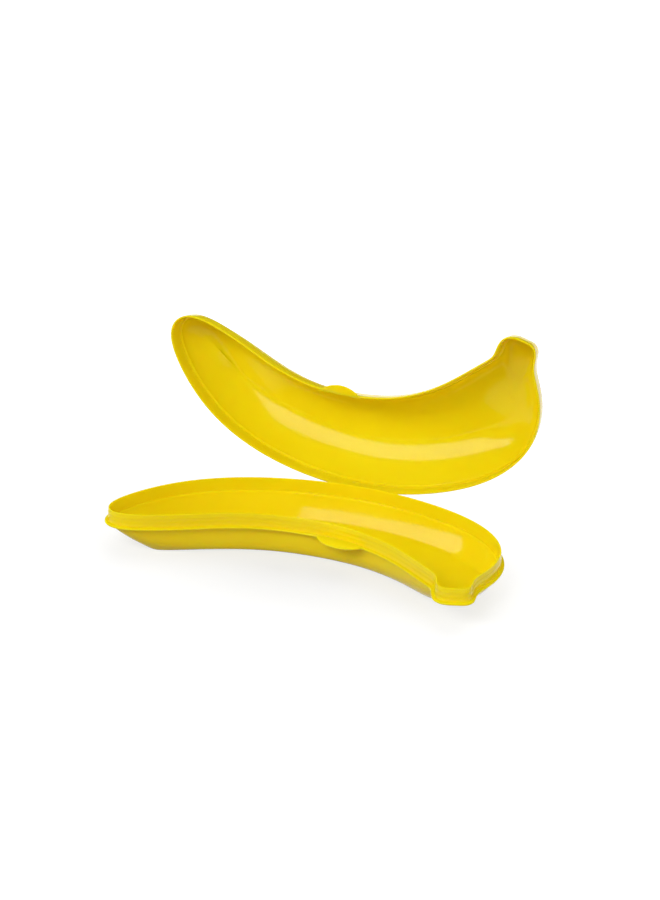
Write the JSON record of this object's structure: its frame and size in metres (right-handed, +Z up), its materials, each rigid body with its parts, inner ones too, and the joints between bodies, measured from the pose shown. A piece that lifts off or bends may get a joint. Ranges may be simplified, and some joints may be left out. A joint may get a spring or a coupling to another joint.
{
  "type": "banana carrying case",
  "caption": "Banana-shaped hard case: a shallow base with a snap collar and a ridged, domed lid on a pin hinge, with finger tabs for opening it.",
  "frame": {"origin": "on the flat resting face of the base, in the plane that cuts the hinge in half", "axes": "+X along the hinge axis towards the stem, +Y from the inside of the bow towards the hinge, +Z up"},
  "size_m": [0.2455, 0.1555, 0.1321],
  "materials": {
    "yellow_plastic": "glossy moulded polypropylene, a little translucent at thin edges",
    "pin_steel": "plain stainless wire"
  },
  "bodies": {
    "base": {"base_shell": "yellow_plastic", "base_finger_tab": "yellow_plastic", "base_knuckle_left": "yellow_plastic", "base_knuckle_right": "yellow_plastic", "hinge_pin": "pin_steel"},
    "lid": {"lid_shell": "yellow_plastic", "lid_finger_tab": "yellow_plastic", "lid_knuckle": "yellow_plastic"}
  },
  "joints": [
    {"name": "lid_hinge", "type": "hinge", "parent": "base", "child": "lid", "pos_m": [0, 0.0347, 0.01862], "axis": [-1, 0, 0], "range_deg": [-100, 65]}
  ]
}
